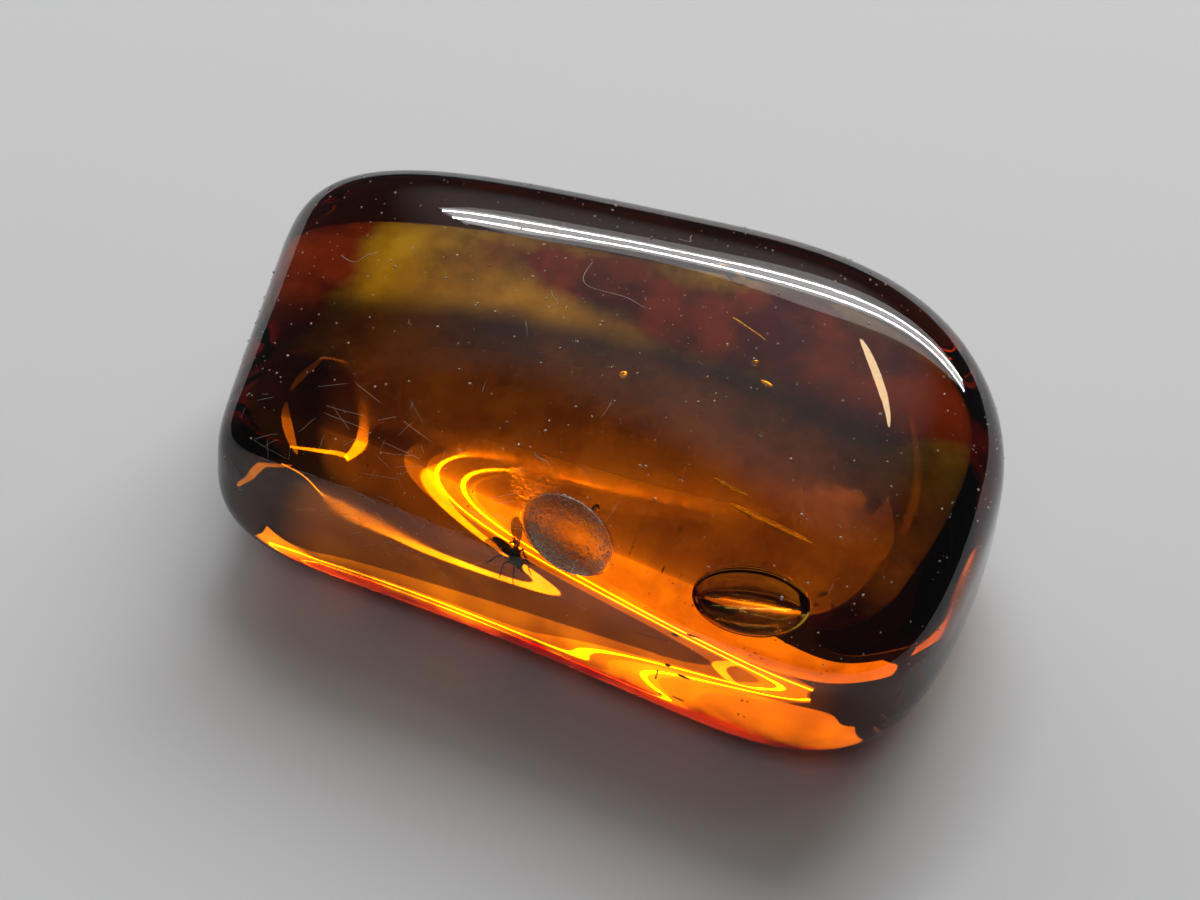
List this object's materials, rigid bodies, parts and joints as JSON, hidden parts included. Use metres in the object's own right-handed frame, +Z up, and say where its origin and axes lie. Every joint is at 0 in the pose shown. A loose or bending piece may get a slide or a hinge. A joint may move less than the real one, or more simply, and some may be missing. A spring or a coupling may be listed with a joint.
{
  "type": "insect in amber",
  "caption": "Hand-polished, cushion-shaped block of clear cognac amber with a small gnat sealed inside, an opened gas bubble on its edge and a flat bubble within.",
  "frame": {"origin": "on the surface that the block rests on, below the middle of its box", "axes": "+X along the block towards its thick rounded end, +Y across it towards its high long side, +Z up from the resting flat"},
  "size_m": [0.0332, 0.0204, 0.0107],
  "materials": {
    "amber": "polished",
    "insect": "satin"
  },
  "bodies": {
    "root": {"amber_lower_half": "amber", "amber_upper_half": "amber", "insect": "insect"}
  },
  "joints": []
}
